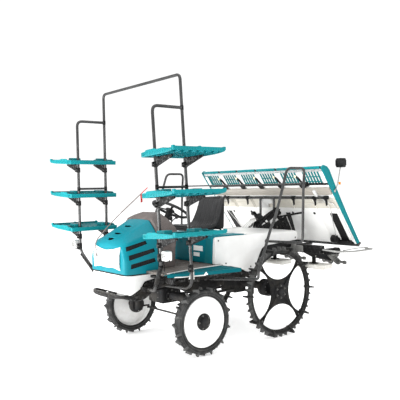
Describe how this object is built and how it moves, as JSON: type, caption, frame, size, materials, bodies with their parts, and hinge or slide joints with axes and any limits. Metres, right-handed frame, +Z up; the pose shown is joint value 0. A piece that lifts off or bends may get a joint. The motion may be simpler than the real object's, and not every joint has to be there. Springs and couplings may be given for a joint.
{
  "type": "rice transplanter",
  "caption": "Ride-on rice transplanter with toothed ring rear wheels, spare seedling racks at the front and a leaning seedling table with planting rotors behind.",
  "frame": {"origin": "centre of the machine's length and width, on the ground", "axes": "+X ahead, +Y to the machine's left, +Z up"},
  "size_m": [2.8147, 2.3, 2.6184],
  "materials": {
    "teal_plastic": "gloss moulded",
    "white_plastic": "gloss moulded",
    "black_paint": "satin",
    "tyre_rubber": "matt",
    "deck_mat": "matt, fine grain",
    "seat_vinyl": "satin vinyl",
    "cast_metal": "painted cast",
    "bright_steel": "zinc plated",
    "lamp_housing": "clear and white",
    "white_paint": "gloss",
    "red_paint": "satin",
    "grip": "soft black"
  },
  "bodies": {
    "chassis": {"frame": "black_paint", "front_axle": "cast_metal", "rear_axle": "cast_metal", "engine": "cast_metal", "gearbox": "cast_metal", "front_skirt": "white_plastic", "dash": "deck_mat", "deck": "deck_mat", "seat_box": "teal_plastic", "rear_cover": "white_plastic", "seat": "seat_vinyl", "cross_bar": "black_paint", "step_left": "teal_plastic", "step_right": "teal_plastic", "fender_left": "white_plastic", "fender_right": "white_plastic", "lamp_left": "lamp_housing", "lamp_right": "lamp_housing", "hand_rail_left": "black_paint", "hand_rail_right": "black_paint", "rack_left": "black_paint", "rack_right": "black_paint", "shelf_left_1": "teal_plastic", "shelf_left_2": "teal_plastic", "shelf_left_3": "teal_plastic", "shelf_right_1": "teal_plastic", "shelf_right_2": "teal_plastic", "shelf_right_3": "teal_plastic"},
    "hood": {"hood": "teal_plastic", "headlamp_panel": "white_plastic"},
    "sighting_rod": {"marker_rod": "red_paint"},
    "steering_wheel": {"steering_wheel": "grip"},
    "knuckle_left": {"knuckle_left": "cast_metal"},
    "knuckle_right": {"knuckle_right": "cast_metal"},
    "tie_rod": {"tie_rod": "black_paint"},
    "front_wheel_left": {"front_tyre_left": "tyre_rubber", "front_disc_left": "white_paint"},
    "front_wheel_right": {"front_tyre_right": "tyre_rubber", "front_disc_right": "white_paint"},
    "rear_wheel_left": {"rear_tyre_left": "tyre_rubber", "rear_web_left": "black_paint"},
    "rear_wheel_right": {"rear_tyre_right": "tyre_rubber", "rear_web_right": "black_paint"},
    "lower_link": {"lower_link": "black_paint"},
    "upper_link": {"upper_link": "black_paint"},
    "planting_unit": {"planting_beam": "black_paint", "table_support": "black_paint", "planting_case_left": "cast_metal", "planting_case_middle": "cast_metal", "planting_case_right": "cast_metal", "float_left": "white_plastic", "float_middle": "white_plastic", "float_right": "white_plastic"},
    "rotor_left": {"rotor_left": "bright_steel"},
    "rotor_middle": {"rotor_middle": "bright_steel"},
    "rotor_right": {"rotor_right": "bright_steel"},
    "seedling_table": {"table_board": "white_plastic", "table_frame": "teal_plastic", "rear_lamp": "black_paint"}
  },
  "joints": [
    {"name": "steer_left", "type": "hinge", "parent": "chassis", "child": "knuckle_left", "pos_m": [0.7175, 0.48, 0.325], "axis": [0, 0, 1], "range_deg": [-38, 38]},
    {"name": "steer_right", "type": "hinge", "parent": "chassis", "child": "knuckle_right", "pos_m": [0.7175, -0.48, 0.325], "axis": [0, 0, 1], "range_deg": [-38, 38]},
    {"name": "tie_rod_pivot", "type": "hinge", "parent": "knuckle_left", "child": "tie_rod", "pos_m": [0.5875, 0.48, 0.3], "axis": [0, 0, 1], "range_deg": [-38, 38]},
    {"name": "steering_wheel_turn", "type": "hinge", "parent": "chassis", "child": "steering_wheel", "pos_m": [0.6125, 0, 1.365], "axis": [-0.4695, 0, 0.8829], "range_deg": [-380, 380]},
    {"name": "front_spin_left", "type": "hinge", "parent": "knuckle_left", "child": "front_wheel_left", "pos_m": [0.7175, 0.622, 0.325], "axis": [0, 1, 0], "continuous": true},
    {"name": "front_spin_right", "type": "hinge", "parent": "knuckle_right", "child": "front_wheel_right", "pos_m": [0.7175, -0.622, 0.325], "axis": [0, 1, 0], "continuous": true},
    {"name": "rear_spin_left", "type": "hinge", "parent": "chassis", "child": "rear_wheel_left", "pos_m": [-0.3375, 0.619, 0.475], "axis": [0, 1, 0], "continuous": true},
    {"name": "rear_spin_right", "type": "hinge", "parent": "chassis", "child": "rear_wheel_right", "pos_m": [-0.3375, -0.619, 0.475], "axis": [0, 1, 0], "continuous": true},
    {"name": "hood_hinge", "type": "hinge", "parent": "chassis", "child": "hood", "pos_m": [1.3785, 0, 0.787], "axis": [0, 1, 0], "range_deg": [0, 60]},
    {"name": "sighting_rod_fold", "type": "hinge", "parent": "hood", "child": "sighting_rod", "pos_m": [1.3845, -0.175, 0.93], "axis": [0, 1, 0], "range_deg": [0, 48]},
    {"name": "lift", "type": "hinge", "parent": "chassis", "child": "lower_link", "pos_m": [-0.3575, 0, 0.42], "axis": [0, -1, 0], "range_deg": [0, 78]},
    {"name": "upper_link_pivot", "type": "hinge", "parent": "chassis", "child": "upper_link", "pos_m": [-0.3575, 0, 0.58], "axis": [0, -1, 0], "range_deg": [0, 78]},
    {"name": "unit_pivot", "type": "hinge", "parent": "lower_link", "child": "planting_unit", "pos_m": [-0.63306, 0, 0.86099], "axis": [0, -1, 0], "range_deg": [-78, 0]},
    {"name": "rotor_spin_middle", "type": "hinge", "parent": "planting_unit", "child": "rotor_middle", "pos_m": [-1.1975, 0, 0.755], "axis": [0, 1, 0], "continuous": true},
    {"name": "rotor_spin_left", "type": "hinge", "parent": "planting_unit", "child": "rotor_left", "pos_m": [-1.1975, 0.6, 0.755], "axis": [0, 1, 0], "continuous": true},
    {"name": "rotor_spin_right", "type": "hinge", "parent": "planting_unit", "child": "rotor_right", "pos_m": [-1.1975, -0.6, 0.755], "axis": [0, 1, 0], "continuous": true},
    {"name": "table_traverse", "type": "slide", "parent": "planting_unit", "child": "seedling_table", "axis": [0, 1, 0], "range_m": [-0.14, 0.14]}
  ],
  "couplings": [
    {"joint": "steer_right", "follows": "steer_left", "ratio": 1},
    {"joint": "tie_rod_pivot", "follows": "steer_left", "ratio": -1},
    {"joint": "steering_wheel_turn", "follows": "steer_left", "ratio": 10},
    {"joint": "upper_link_pivot", "follows": "lift", "ratio": 1},
    {"joint": "unit_pivot", "follows": "lift", "ratio": -1},
    {"joint": "rotor_spin_left", "follows": "rotor_spin_middle", "ratio": 1},
    {"joint": "rotor_spin_right", "follows": "rotor_spin_middle", "ratio": 1}
  ]
}
